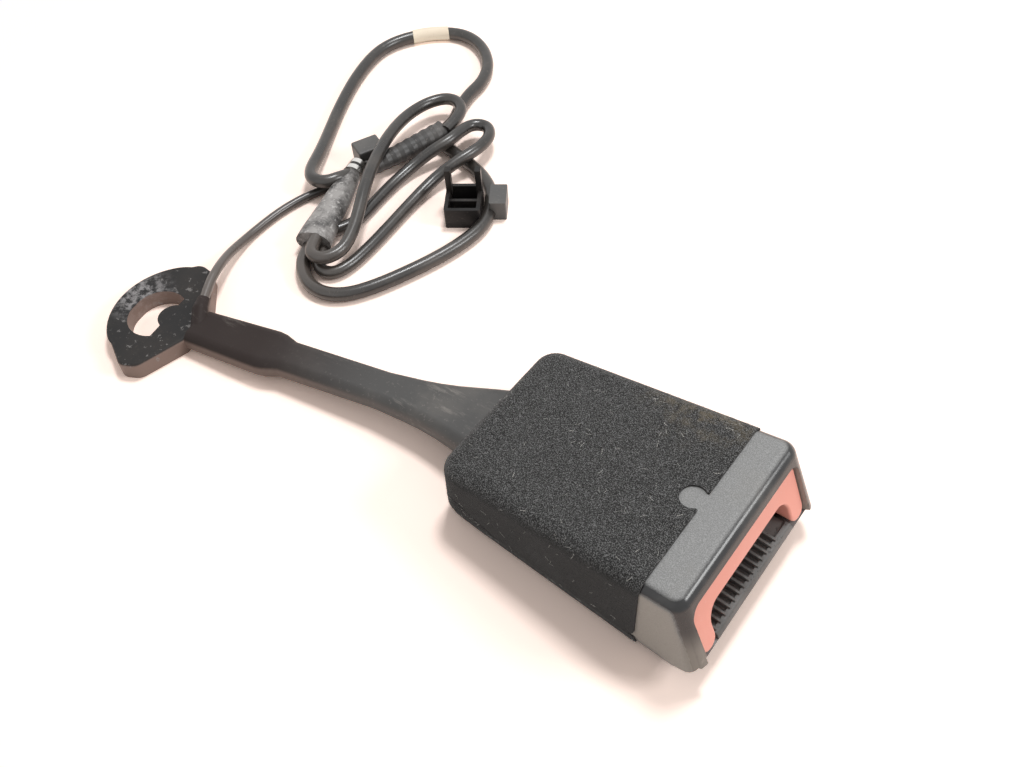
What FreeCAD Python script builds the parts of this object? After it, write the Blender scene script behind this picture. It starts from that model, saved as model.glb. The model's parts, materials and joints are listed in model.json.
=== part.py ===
import FreeCAD, Part
import math
import os

# Front seat belt buckle: velour covered head, moulded stalk, steel anchor and its switch lead.
# Millimetres. The origin is the centre of the anchor hole on the surface that the buckle lies on,
# +Z is up, and +X is the way that the head points. The stalk runs at a small angle to the head.

V = FreeCAD.Vector
Z_AXIS = V(0, 0, 1)
Y_AXIS = V(0, 1, 0)
X_AXIS = V(1, 0, 0)
beyond = 999.0             # further than any piece reaches, for cuts that go right through

# Head, as seen from outside
top_length = 81.1          # top face, rear edge to front edge
front_foot = 10.0          # how far the front leans out below the top edge
rear_half_width = 27.3
front_half_width = 31.5
side_flare = 0.4           # each side, from the top edge down to the parting line
rear_height = 23.4
front_height = 33.0
parting_height = 6.7       # the two shells meet here along the sides
parting_rise = 7.0         # and this much higher at the rear
parting_run = 22.0
under_rise = 5.0           # the underside lifts this much at the rear
under_run = 24.0
under_draft = 1.6          # the sides lean in below the parting line
chin_rise = 8.8            # top of the chin below the mouth
chin_run = 10.5
chin_reach = 7.4           # past the top face's front edge
chin_front = top_length + chin_reach
plan_corner = 6.5
front_corner = 4.8
top_round = 4.0
under_round = 2.2
under_step = 0.12          # the underside stands in by this much where its sides change slope
foot_round = 5.0
cheek_lean = 4.6           # the lower shell's front corners lean in by this much towards the floor
shell_wall = 2.4

# Velour panels, let into the shells
pile_depth = 0.9
pile_proud = 0.6
band_length = 11.5         # bare front of the top face
pile_front = top_length - band_length
pile_foot_round = 3.5
tab_radius = 3.8
tab_reach = 3.0            # the round tab's centre stands this far behind the band's edge

# Mouth, button and comb
mouth_wall = 3.7           # beside the mouth, at the widest
mouth_half_width = front_half_width - mouth_wall
mouth_top = 28.6
mouth_corner = 4.0
mouth_depth = 15.5
mouth_rear = top_length - mouth_depth
tongue_plane = 12.9        # the belt tongue slides on this height
button_gap = 0.4
button_recess = 1.3
button_depth = 7.0
button_under = 20.2        # underside of the bar between the feet
button_foot_width = 7.0
button_foot_inner = mouth_half_width - button_foot_width
button_foot_lift = 0.7
button_under_round = 4.8
button_foot_round = 3.0
button_edge_round = 0.8
button_travel = 6.0
arm_inset = 2.2
arm_outer = mouth_half_width - arm_inset
arm_thickness = 2.4
arm_low = 14.0
arm_height = 7.6
arm_rear = 50.0
comb_setback = 0.5         # behind the chin's front edge
comb_length = 12.5
comb_front = chin_front - comb_setback
comb_rear = comb_front - comb_length
comb_floor_low = 8.9
comb_floor = 1.4
comb_lip_length = 1.9
comb_lip_top = 11.0
rib_pitch = 2.5
rib_thickness = 0.8
rib_first = -19.8
rib_count = 14
rib_top_rear = 12.7
rib_top_front = 11.6

# Steel frame and latch
frame_front_gap = 0.5      # to the back of the pressed button
frame_rear = 13.0
frame_arm_gap = 1.2
frame_half_width = arm_outer - arm_thickness - frame_arm_gap
frame_steel = 2.5
frame_wall = [(14.0, 20.5), (30.0, 22.6), (60.0, 22.6), (66.0, 18.5)]   # x, z of the walls' upper edge
latch_pivot_x = 18.0
latch_pivot_z = 18.3
latch_pin_radius = 2.0
pin_running_gap = 0.05
latch_side_gap = 1.3       # to the frame's walls
latch_half_width = frame_half_width - frame_steel - latch_side_gap
latch_root_step = 6.2
latch_root_half_width = latch_half_width - latch_root_step
latch_steel = 2.2
latch_rear = 14.5
latch_bend = 24.0
latch_bend_run = 6.0
latch_under = 20.4         # underside of the raised front
latch_front = 58.0
latch_bar_rear = 50.0
latch_window_rear = 36.0
latch_window_half = 9.0
tooth_rear = 52.0
tooth_front = 56.5
tooth_half_width = 7.0
tooth_drop = 4.1
tooth_window_gap = 1.0
seat_x = 11.5
seat_length = 2.0

# Ejector and lock slide
ejector_travel = 11.0
ejector_height = 2.9
ejector_prong = 3.6
prong_round = 0.6
ejector_prong_gap = 2.5    # beside the latch tooth
ejector_front = 57.0
ejector_bar_rear = 40.0
ejector_bar = 4.5
keel_length = 3.5
keel_half_width = 1.4
keel_low = 5.6
slide_gap = 0.3
lock_travel = 4.0
lock_under = 22.9
lock_steel = 2.0
lock_rear = 36.0
lock_front = 52.0
lock_ear_gap = 0.4         # to the frame's walls
lock_ear_thickness = 2.0
lock_ear_inner = frame_half_width + lock_ear_gap
lock_half_width = lock_ear_inner + lock_ear_thickness
lock_ear_low = 18.1
lock_nose_gap = 1.0
lock_nose_half = 8.0
lock_nose_rear = 40.0
lock_nose_flat = 46.0
lock_nose_low = 19.2
lock_nose_tip_low = 22.0

# Springs
spring_wire = 0.6
spring_corners = 6         # points on each turn
button_spring_radius = 1.3
button_spring_side = arm_outer - arm_thickness / 2
button_spring_z = 15.9
button_spring_rear = 34.0
button_spring_turns = 8
ejector_spring_radius = 1.3
ejector_spring_side = -7.0
ejector_spring_z = 14.6
ejector_spring_turns = 11
latch_spring_radius = 2.8
latch_spring_gap = 0.6
latch_spring_start = latch_root_half_width + latch_spring_gap
latch_spring_length = 5.0
latch_spring_turns = 5

# Belt switch
switch_rear = 18.0
switch_length = 23.0
switch_side = -11.3
switch_half_width = 5.0
switch_height = 6.3
switch_wall = 1.2
plunger_travel = 3.0
plunger_stem = 1.5         # half its thickness
plunger_tip_gap = 0.3
wire_radius = 1.1
wire_route = [             # along the stalk, across it, and below its middle
    (18.0, -6.2, 0), (32.0, -6.2, 0), (46.0, -6.2, 0), (55.0, -4.6, 0), (64.0, -3.9, 0),
    (78.0, -3.9, 0), (92.0, -3.9, 0), (104.0, -5.0, 0), (116.0, -6.6, 0), (127.0, -7.6, 0),
    (135.4, -8.2, 0), (139.9, -9.2, 1.8), (144.6, -10.8, 3.9),
]

# Screws that hold the shells
boss_x = 8.4
boss_y = 18.5
boss_radius = 3.2
boss_split = 12.6
screw_radius = 1.4
screw_length = 9.0
screw_head_radius = 2.4
screw_head = 1.6
screw_sink = 1.0

# Stalk
stalk_angle = 10.56        # degrees in plan, against the head
stalk_reach = 133.3        # anchor hole centre to the head's rear face
head_side = 0.4            # the head's middle lies this far beside the stalk's line
stalk_start = 16.5
stalk_into_head = 3.0
axis_height_anchor = 4.1
axis_height_head = 11.2
sleeve_sections = [        # distance from the hole, half width, half thickness
    (16.5, 7.4, 4.1), (30.0, 7.9, 4.1), (47.0, 8.5, 4.1), (50.0, 8.1, 4.1), (55.0, 6.4, 4.0),
    (92.0, 6.4, 4.0),
]
flare_sections = [         # distance behind the head's rear face, half width, half thickness
    (29.3, 7.5, 4.1), (23.3, 8.3, 4.2), (17.3, 9.5, 4.3), (11.3, 11.1, 4.4), (5.3, 12.7, 4.5),
    (0.3, 13.9, 4.6), (-3.0, 14.2, 4.6),
]
sleeve_corner_share = 0.8
passage_gap = 0.2
rope_radius = 2.5
rope_side = 1.4            # the rope lies this far off the stalk's middle
rope_start = 31.0
rope_end = 2.4             # behind the head's rear face
ferrule_half_width = 5.2
ferrule_half_thickness = 3.1
ferrule_start = 31.0
ferrule_end = 46.0
head_ferrule_radius = 3.9
head_ferrule_start = 17.4  # behind the head's rear face
head_ferrule_end = 0.4
head_tab_half_width = 7.0
head_tab_round = 4.0
head_tab_start = 4.4       # behind the head's rear face
head_tab_end = 25.2        # inside the head
anchor_tab_start = 17.0
anchor_tab_steel = 2.0
tang_half_width = 4.8
tang_end = 30.5
rivet_radius = 1.6
rivet_head_radius = 2.8
rivet_head = 0.5
rivet_pitch = 7.5
anchor_rivet_start = 20.5
head_rivet_start = 14.4    # inside the head
lug_length = 4.5
lug_base_radius = 2.9
lug_tip_radius = 2.4
lug_root = (18.4, 1.6, 4.4)
lug_root_radius = 3.3

# Anchor
sheath_thickness = 6.4
sheath_round = 1.2
plate_low = 1.6
plate_steel = 3.2
plate_inset = 2.4
hole_lining = 1.3
anchor_back = -17.8
anchor_shoulder = (-13.0, 14.4)
anchor_ear = (1.2, 25.4)
anchor_ear_front = (7.4, 23.6)
anchor_neck = (16.5, 7.4)
anchor_skew = 0.07         # the ears lean back on the lead's side by this share of their width
ear_round = 4.2
hole_radius = 9.6
hole_near = 2.2            # the hole is drawn out by this much away from the lead's side
hole_flat = 4.6            # the hole ends flat this far from its centre, towards the stalk
hole_bump_radius = 5.4     # a rounded bump stands on that flat
hole_bump_reach = 3.7

# The lead's cords, each a list of points chosen along its route
lead_diameter = 3.4
sleeve_diameter = 5.2
loop_diameter = 4.8
arc_share = 0.45
lead_route = [
    (10.9, 12.0, 8.2), (7.2, 17.8, 8.7), (3.9, 24.5, 8.7), (-2.1, 34.6, 5.2), (-5.7, 45.6, 2.2),
    (-6.4, 55.2, 1.8), (-6.2, 64.2, 1.8), (-4.9, 72.6, 1.8), (-2.4, 80.3, 1.8), (0.8, 86.4, 2.0),
    (3.2, 91.2, 2.6),
]
sleeve_route = [
    (5.1, 92.8, 5.5), (5.2, 88.0, 7.5), (2.6, 82.0, 7.9), (-3.2, 80.6, 7.8), (-8.6, 85.2, 6.8),
    (-13.8, 94.2, 5.0), (-19.4, 103.6, 3.4), (-24.0, 111.4, 2.7), (-31.6, 125.6, 2.7), (-39.0, 141.8, 2.7),
    (-43.8, 156.6, 2.7), (-45.2, 167.6, 2.8), (-42.6, 177.4, 3.0), (-35.2, 188.0, 3.0),
    (-24.6, 195.4, 3.0), (-14.2, 195.6, 3.0), (-4.0, 190.6, 2.8), (4.4, 181.8, 2.7),
    (8.6, 171.6, 2.7), (9.2, 162.4, 2.7), (11.4, 153.6, 2.7), (15.0, 145.4, 2.8), (16.8, 138.0, 3.6),
    (17.6, 132.8, 4.4),
]
inner_route = [
    (21.5, 57.5, 7.9), (24.0, 51.6, 7.9), (28.2, 49.6, 7.9), (32.4, 51.6, 7.9), (34.3, 58.2, 8.0),
    (31.4, 66.6, 8.6), (26.6, 75.6, 9.8), (21.0, 85.0, 11.2), (14.2, 97.4, 11.4), (6.8, 113.4, 10.2),
    (2.4, 129.0, 8.8), (2.8, 141.8, 8.0), (8.0, 149.9, 8.1), (15.4, 149.6, 8.4), (20.6, 143.4, 8.2),
    (21.5, 132.6, 7.9),
]
return_route = [
    (23.6, 58.2, 2.6), (26.2, 52.2, 2.6), (30.6, 49.2, 2.5), (35.4, 50.9, 2.5), (37.3, 57.4, 2.5),
    (37.0, 68.4, 2.5), (35.4, 82.6, 2.5), (33.6, 96.8, 2.6), (33.6, 109.6, 4.2), (36.4, 118.8, 7.0),
    (39.0, 126.2, 8.2), (39.6, 133.4, 7.9), (37.8, 140.6, 7.2), (32.8, 145.4, 6.8), (27.2, 142.4, 7.2),
    (26.7, 134.6, 8.0), (27.0, 127.8, 8.2), (23.6, 120.4, 6.4), (20.8, 111.8, 3.6), (20.2, 101.4, 2.5),
    (21.4, 90.6, 2.5), (22.8, 80.6, 2.5), (23.0, 72.8, 2.7), (19.6, 65.6, 3.4),
]
outer_route = [
    (18.0, 57.0, 3.0), (19.8, 51.2, 2.8), (24.6, 45.6, 2.7), (31.8, 41.4, 2.7), (40.2, 41.3, 2.7),
    (47.2, 45.9, 2.7), (52.6, 54.6, 2.7), (57.0, 65.0, 2.7), (61.1, 76.2, 2.7), (64.2, 88.6, 2.7),
    (65.0, 100.2, 2.7), (61.6, 110.2, 2.7), (55.2, 118.4, 2.7), (46.4, 123.8, 2.7), (37.2, 126.6, 2.7),
    (29.0, 128.4, 2.8), (21.8, 129.4, 3.2),
]
label_point = 13           # the label wraps the sleeve just past this route point
label_past = 1.3
label_length = 16.0
label_thickness = 0.3

# Pieces on the lead
boot_sections = [          # x, y, z, half width, half height, from the tie to the lower end
    (2.8, 100.0, 4.6, 2.8, 2.8), (5.6, 92.6, 4.6, 3.6, 3.6), (9.6, 82.6, 4.9, 4.9, 4.5),
    (13.6, 72.6, 5.1, 5.6, 4.8), (17.4, 63.2, 5.3, 6.4, 5.0), (20.2, 56.6, 5.3, 6.8, 5.0),
]
tie_bands = (1.2, 5.2)     # distances of the two bands from the boot's upper end
tie_width = 2.4
tie_thickness = 0.5
tie_bite = 0.5             # the bands sink this far into the boot
inline_size = (11.0, 9.0, 8.0)
inline_centre = (0.6, 108.6)
inline_angle = 66.0
inline_round = 0.8
tape_start = (7.6, 100.4, 4.2)
tape_end = (18.6, 133.6, 5.4)
tape_radius_start = 3.6
tape_radius_end = 5.0
tape_ribs = 9
tape_rib_depth = 0.35
plug_centre = (53.2, 104.4)
plug_angle = 33.6
plug_size = (13.6, 15.4, 8.6)
plug_wall = 1.5
prong_height = 9.0
prong_size = (2.2, 3.0)
clip_size = (6.4, 11.0, 8.0)
clip_centre = (62.6, 113.6)
clip_angle = 33.6
clip_round = 0.6

solids = {}


def save(name, shape):
    solids[name] = shape
    os.makedirs("parts", exist_ok=True)
    shape.exportStep(os.path.join("parts", name + ".step"))


# Helpers

def box(x0, x1, y0, y1, z0, z1):
    return Part.makeBox(x1 - x0, y1 - y0, z1 - z0, V(x0, y0, z0))


def rod(base, radius, length, direction):
    return Part.makeCylinder(radius, length, base, direction)


def prism(points, direction):
    """A closed outline of points, extruded along direction."""
    wire = Part.makePolygon([V(*p) for p in points] + [V(*points[0])])
    return Part.Face(wire).extrude(direction)


def side_prism(outline, half_width):
    """An outline in X and Z, extruded across the head."""
    return prism([(x, -half_width, z) for x, z in outline], V(0, 2 * half_width, 0))


def round_edges(shape, radius, chosen):
    edges = [e for e in shape.Edges if chosen(e)]
    return shape.makeFillet(radius, edges) if edges else shape


def along(edge, axis):
    """Whether a straight edge runs mostly along the axis."""
    run = edge.Vertexes[-1].Point - edge.Vertexes[0].Point
    if abs(edge.Length - run.Length) > 0.001:
        return False
    return abs(run.dot(axis)) > 0.8 * run.Length


def head_origin():
    """The middle of the head's rear face, on the surface that the buckle lies on."""
    return FreeCAD.Rotation(Z_AXIS, stalk_angle).multVec(V(stalk_reach, 0, 0)) + V(0, head_side, 0)


def in_head(shape):
    """Moves a shape from the head's own frame to the buckle's."""
    moved = shape.copy()
    moved.translate(head_origin())
    return moved


def in_stalk(shape):
    """Turns a shape from the stalk's own frame, with X along the stalk, to the buckle's."""
    moved = shape.copy()
    moved.rotate(V(0, 0, 0), Z_AXIS, stalk_angle)
    return moved


def mirrored(shape):
    return shape.mirror(V(0, 0, 0), Y_AXIS)


def both_sides(shape):
    return shape.fuse(mirrored(shape))


# Outer form of the head

top_slope = (front_height - rear_height) / top_length
front_lean = front_foot / (front_height - parting_height)
front_norm = math.hypot(1, front_lean)
side_slope = (front_half_width - rear_half_width) / top_length


def top_at(x):
    return rear_height + top_slope * x


def front_at(z):
    return top_length + front_lean * (front_height - z)


def half_width_at(x, z):
    flare = side_flare * (top_at(x) - z) / (rear_height - parting_height)
    return rear_half_width + side_slope * x + flare


def upper_form(offset):
    """The head above the underside, with each face moved out by offset and its edges rounded."""
    low = parting_height - 2
    high = front_height + 6
    reach = front_at(low) + 2
    norm_top = math.hypot(1, top_slope)
    lift = offset * norm_top
    push = offset * front_norm
    rings = []
    for z in (low, high):
        ring = []
        for x, sign in ((-offset, -1), (reach, -1), (reach, 1), (-offset, 1)):
            ring.append(V(x, sign * (half_width_at(x, z) + offset), z))
        rings.append(Part.makePolygon(ring + [ring[0]]))
    body = Part.makeLoft(rings, True, True)
    profile = [
        (-offset - 1, low), (front_at(low) + push, low), (front_at(high) + push, high),
        (-offset - 1, high),
    ]
    body = body.common(side_prism(profile, 2 * front_half_width))
    above = [
        (-offset - 9, top_at(-offset - 9) + lift), (reach + 9, top_at(reach + 9) + lift),
        (reach + 9, high + 9), (-offset - 9, high + 9),
    ]
    body = body.cut(side_prism(above, 2 * front_half_width))
    middle = top_length / 2
    body = round_edges(body, plan_corner + offset, lambda e: upright(e) and e.CenterOfMass.x < middle)
    body = round_edges(body, front_corner + offset, lambda e: upright(e) and e.CenterOfMass.x > middle)
    return round_edges(body, top_round + offset, lambda e: on_top(e, lift))


def upright(edge):
    return along(edge, Z_AXIS)


def on_top(edge, lift):
    """Whether an edge lies in the sloping top face."""
    for p in edge.discretize(5):
        if abs(p.z - top_at(p.x) - lift) > 0.02:
            return False
    return True


def below_parting(clearance):
    """Everything under the line where the shells meet."""
    far = 2 * top_length
    outline = [
        (-far, parting_height + parting_rise - clearance), (0, parting_height + parting_rise - clearance),
        (parting_run, parting_height - clearance), (far, parting_height - clearance), (far, -far),
        (-far, -far),
    ]
    return side_prism(outline, far)


def lower_form(offset):
    """The underside: sides that lean in and turn under, a lifted rear, and the chin at the front."""
    reach = chin_front + 2
    lean = under_draft / parting_height
    turn = under_round - offset
    rear = under_step - offset
    body = None
    for low, high, slope in ((turn, parting_height, lean), (-under_round, turn, 1.0)):
        rings = []
        for z in (low, high):
            ring = []
            for x, sign in ((rear, -1), (reach, -1), (reach, 1), (rear, 1)):
                half = half_width_at(x, parting_height) - lean * (parting_height - high)
                half = half - slope * (high - z) - rear
                ring.append(V(x, sign * half, z))
            rings.append(Part.makePolygon(ring + [ring[0]]))
        band = Part.makeLoft(rings, True, True)
        band = round_edges(band, plan_corner + offset, lambda e: upright(e) and e.CenterOfMass.x < reach / 2)
        body = body.fuse(band) if body else band
    return body.common(side_prism(underside_outline(offset, parting_height), 2 * front_half_width))


def underside_outline(offset, top):
    """Side view of the lower shell's outer face, up to the height top."""
    chin_slope = chin_run / chin_rise
    return [
        (-offset - 1, top), (-offset - 1, under_rise - offset), (0, under_rise - offset),
        (under_run, -offset), (chin_front - chin_run + offset, -offset),
        (chin_front + chin_slope * (top - chin_rise) + 1.5 * offset, top),
    ]


# Shells

def pile_region():
    """Where the velour lies: behind the band's edge, less the round tab that reaches back from it."""
    far = 2 * top_length
    region = box(-far, pile_front, -far, far, -far, far)
    tab_x = pile_front - tab_reach
    tab = rod(V(tab_x, 0, front_height / 2), tab_radius, far, Z_AXIS)
    neck = box(tab_x, pile_front + 1, -tab_radius * 0.8, tab_radius * 0.8, front_height / 2, far)
    return region.cut(tab.fuse(neck))


def pile_side_rounding():
    """What the rounded lower front corner of the side velour leaves to the band."""
    r = pile_foot_round
    corner = box(pile_front - r, pile_front + 1, -beyond, beyond, parting_height - 1, parting_height + r)
    return corner.cut(rod(V(pile_front - r, -beyond, parting_height + r), r, 2 * beyond, Y_AXIS))


def mouth_opening():
    """The window in the upper shell's front that the button and the tongue fill."""
    far = top_length + 3 * front_foot
    window = box(mouth_rear, far, -mouth_half_width, mouth_half_width, 0, mouth_top)
    return round_edges(window, mouth_corner, lambda e: along(e, X_AXIS) and e.CenterOfMass.z > mouth_top / 2)


def stalk_passage():
    """Room in the shells for the stalk, in the head's own frame."""
    reach, wide, tall = flare_sections[-1]
    wide = wide + passage_gap
    tall = tall + passage_gap
    hole = box(-10, stalk_into_head + 4, -wide, wide, axis_height_head - tall, axis_height_head + tall)
    hole = round_edges(hole, tall * sleeve_corner_share, lambda e: along(e, X_AXIS))
    hole.rotate(V(0, 0, 0), Z_AXIS, stalk_angle)
    hole.translate(V(0, -head_side, 0))
    return hole


def make_upper():
    region = pile_region().cut(pile_side_rounding())
    outer = upper_form(0)
    under_pile = upper_form(-pile_depth)
    skin = upper_form(pile_proud).cut(under_pile).common(region)
    body = outer.common(region).common(under_pile).fuse(outer.cut(region))
    cavity = upper_form(-shell_wall)
    body = body.cut(cavity).cut(mouth_opening())
    foot = foot_corner()
    body = body.cut(foot).cut(below_parting(0)).cut(stalk_passage())
    skin = skin.cut(below_parting(-0.15)).cut(stalk_passage())
    return body.removeSplitter(), skin


def foot_reach():
    """From the lower front corner, unrounded, to where its rounding starts."""
    return foot_round * math.tan((math.pi / 2 + math.atan(front_lean)) / 2)


def foot_corner():
    """What the rounded lower front corner of the upper shell's side walls leaves to the lower shell."""
    r = foot_round
    start = front_at(parting_height) - foot_reach()
    high = parting_height + foot_reach() / front_norm
    corner = [
        (start, parting_height - 1), (front_at(parting_height - 1) + 3, parting_height - 1),
        (front_at(high) + 3, high), (front_at(high), high), (start, parting_height + r),
    ]
    wedge = side_prism(corner, 2 * front_half_width)
    return wedge.cut(rod(V(start, -beyond, parting_height + r), r, 2 * beyond, Y_AXIS))


def make_cheeks():
    """The lower shell's front corners, which meet the rounded corners above and lean in below them."""
    low = parting_height - 0.5
    high = parting_height + foot_reach() / front_norm
    outer = half_width_at(front_at(high), high)
    inner = mouth_half_width + button_gap
    root = mouth_half_width - button_gap - shell_wall
    section = prism([
        (0, root, low), (0, root, chin_rise), (0, inner, chin_rise), (0, inner, high),
        (0, outer + 2, high), (0, outer, parting_height + foot_round), (0, outer - cheek_lean, low),
    ], V(3 * top_length, 0, 0))
    cheek = section.common(foot_corner()).common(upper_form(0))
    return both_sides(cheek.common(side_prism(underside_outline(0, high), 2 * front_half_width)))


def rear_form(offset):
    """The part of the lower shell's form that rises behind, above the sides' parting height."""
    reach = box(-9, parting_run + 1, -beyond, beyond, parting_height, beyond)
    return upper_form(offset).common(below_parting(0)).common(reach)


def make_lower():
    region = box(-beyond, pile_front, -beyond, beyond, -beyond, beyond)
    rear_under_pile = rear_form(-pile_depth)
    rear_skin = rear_form(pile_proud).cut(upper_form(-pile_depth))
    low = lower_form(0)
    low_under_pile = lower_form(-pile_depth)
    body = low.cut(region).fuse(low.common(low_under_pile).common(region)).fuse(rear_under_pile)
    chin = side_prism(underside_outline(0, chin_rise), mouth_half_width - button_gap)
    body = body.fuse(chin.common(box(comb_rear, beyond, -beyond, beyond, parting_height - 1, chin_rise)))
    cavity = lower_form(-shell_wall).fuse(rear_form(-shell_wall))
    chin_inside = mouth_half_width - button_gap - shell_wall
    inner_chin = side_prism(underside_outline(-shell_wall, chin_rise), chin_inside)
    cavity = cavity.fuse(inner_chin.common(box(comb_rear, beyond, -beyond, beyond, 0, chin_rise)))
    body = body.cut(cavity).fuse(make_cheeks()).cut(stalk_passage())
    skin = lower_form(pile_proud).cut(low_under_pile).common(region).fuse(rear_skin).cut(stalk_passage())
    skin = skin.common(below_parting(0.15)).common(box(-beyond, beyond, -beyond, beyond, 0, beyond))
    return body.removeSplitter(), skin.removeSplitter()


# Button and comb

def front_plane_prism(setback, depth, low, high, half_width):
    """A slab that leans like the head's front, its front face setback behind it."""
    back = setback * front_norm
    rear = (setback + depth) * front_norm
    outline = [
        (front_at(low) - rear, low), (front_at(low) - back, low), (front_at(high) - back, high),
        (front_at(high) - rear, high),
    ]
    return side_prism(outline, half_width)


def make_button():
    high = mouth_top - button_gap
    low = chin_rise + button_foot_lift
    wide = mouth_half_width - button_gap
    body = front_plane_prism(button_recess, button_depth, low, high, wide)
    body = round_edges(body, mouth_corner - button_gap, lambda e: button_top_corner(e, high))
    gap = box(0, 3 * top_length, -button_foot_inner, button_foot_inner, low - 1, button_under)
    gap = round_edges(gap, button_under_round,
                      lambda e: along(e, X_AXIS) and e.CenterOfMass.z > button_under - 1)
    body = body.cut(gap)
    body = round_edges(body, button_foot_round, lambda e: along(e, X_AXIS) and e.CenterOfMass.z < low + 1)
    body = round_edges(body, button_edge_round, lambda e: on_button_front(e))
    rear = front_at(button_under) - (button_recess + button_depth) * front_norm + 2
    arm = box(arm_rear, rear, arm_outer - arm_thickness, arm_outer, arm_low, arm_low + arm_height)
    return body.fuse(both_sides(arm)).removeSplitter()


def button_top_corner(edge, high):
    return along(edge, X_AXIS) and abs(edge.CenterOfMass.z - high) < 0.1


def on_button_front(edge):
    """Whether an edge lies in the button's front face."""
    back = button_recess * front_norm
    for p in edge.discretize(4):
        if abs(p.x - (front_at(p.z) - back)) > 0.02:
            return False
    return True


def make_comb():
    wide = button_foot_inner - button_gap
    floor = box(comb_rear, comb_front, -wide, wide, comb_floor_low, comb_floor_low + comb_floor)
    lip = side_prism([
        (comb_front - comb_lip_length, comb_floor_low), (comb_front + 0.6, comb_floor_low),
        (comb_front, comb_lip_top - 0.6), (comb_front - 0.6, comb_lip_top),
        (comb_front - comb_lip_length, comb_lip_top),
    ], wide)
    body = floor.fuse(lip)
    rib = prism([
        (comb_rear, rib_first, comb_floor_low), (comb_front - 1, rib_first, comb_floor_low),
        (comb_front - 1, rib_first, rib_top_front), (comb_rear, rib_first, rib_top_rear),
    ], V(0, rib_thickness, 0))
    ribs = []
    for i in range(rib_count):
        copy = rib.copy()
        copy.translate(V(0, i * rib_pitch, 0))
        ribs.append(copy)
    body = body.fuse(ribs)
    return body.common(box(comb_rear, comb_front + 1, -wide, wide, 0, tongue_plane)).removeSplitter()


# Frame, latch, ejector and lock slide

def make_frame():
    low = tongue_plane - frame_steel
    pressed_button = front_at(tongue_plane) - (button_recess + button_depth) * front_norm - button_travel
    front = pressed_button - frame_front_gap
    base = box(frame_rear, front, -frame_half_width, frame_half_width, low, tongue_plane)
    outline = [(frame_wall[0][0], low)] + frame_wall + [(frame_wall[-1][0], low)]
    inner = frame_half_width - frame_steel
    wall = prism([(x, inner, z) for x, z in outline], V(0, frame_steel, 0))
    body = base.fuse(both_sides(wall))
    seat_low = ejector_spring_side - 3
    seat = box(seat_x, seat_x + seat_length, seat_low, seat_low + 6, low, latch_pivot_z - 2)
    tab = box(seat_x, frame_rear + 1, seat_low, head_tab_half_width + 3, low, tongue_plane)
    body = body.fuse([seat, tab])
    pin_line = V(latch_pivot_x, -beyond, latch_pivot_z)
    pin_hole = rod(pin_line, latch_pin_radius + pin_running_gap, 2 * beyond, Y_AXIS)
    gap = tooth_window_gap
    wide = tooth_half_width + gap
    window = box(tooth_rear - gap, tooth_front + gap + 1, -wide, wide, low - 1, tongue_plane + 1)
    window = round_edges(window, 1.0, upright)
    slot_half = keel_half_width + slide_gap
    keel_rear = ejector_front - keel_length
    slot = box(keel_rear - ejector_travel - 2 * slide_gap, ejector_front + 2 * slide_gap,
               switch_side - slot_half, switch_side + slot_half, low - 1, tongue_plane + 1)
    body = body.cut(pin_hole).cut(window).cut(slot).cut(frame_rivet_rods(rivet_radius))
    return body.removeSplitter()


def frame_rivet_places():
    """Rivet centres in the head's own frame, on the stalk's line."""
    places = []
    for i in range(2):
        reach = stalk_reach + head_rivet_start + i * rivet_pitch
        turn = FreeCAD.Rotation(Z_AXIS, stalk_angle)
        places.append(turn.multVec(V(reach, rope_side, 0)) - head_origin())
    return places


def rivet_rods(places, radius, low, high):
    return [rod(V(p.x, p.y, low), radius, high - low, Z_AXIS) for p in places]


def frame_rivet_rods(radius):
    tab_low = tongue_plane - 2 * frame_steel
    return rivet_rods(frame_rivet_places(), radius, tab_low, tongue_plane)


def make_rivets(places, low, high):
    """Rivets through the stack from low to high, with a flat head at each end."""
    parts = []
    for p in places:
        shank = rod(V(p.x, p.y, low), rivet_radius, high - low, Z_AXIS)
        foot = rod(V(p.x, p.y, low - rivet_head), rivet_head_radius, rivet_head, Z_AXIS)
        cap = rod(V(p.x, p.y, high), rivet_head_radius, rivet_head, Z_AXIS)
        parts.append(shank.fuse([foot, cap]).removeSplitter())
    return Part.makeCompound(parts)


def make_latch():
    rise = latch_under + latch_steel
    root_low = latch_pivot_z - latch_steel / 2
    root_high = latch_pivot_z + latch_steel / 2
    bend_end = latch_bend + latch_bend_run
    strip = [
        (latch_rear, root_low), (latch_bend, root_low), (bend_end, latch_under),
        (latch_front, latch_under),
        (latch_front, rise), (bend_end - 0.8, rise), (latch_bend - 0.8, root_high), (latch_rear, root_high),
    ]
    body = side_prism(strip, latch_half_width)
    side = box(0, latch_bend - 1, latch_root_half_width, latch_half_width + 1, 0, front_height)
    window = box(latch_window_rear, latch_bar_rear, -latch_window_half, latch_window_half, 0, front_height)
    body = body.cut(both_sides(side)).cut(window)
    tooth_low = latch_under - tooth_drop
    tooth = side_prism([
        (tooth_rear, latch_under), (tooth_rear, tooth_low), (tooth_front - 1.5, tooth_low),
        (tooth_front, tooth_low + 1.5), (tooth_front, latch_under),
    ], tooth_half_width)
    pin_start = V(latch_pivot_x, -frame_half_width, latch_pivot_z)
    pin = rod(pin_start, latch_pin_radius, 2 * frame_half_width, Y_AXIS)
    return body.fuse([tooth, pin]).removeSplitter()


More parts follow.
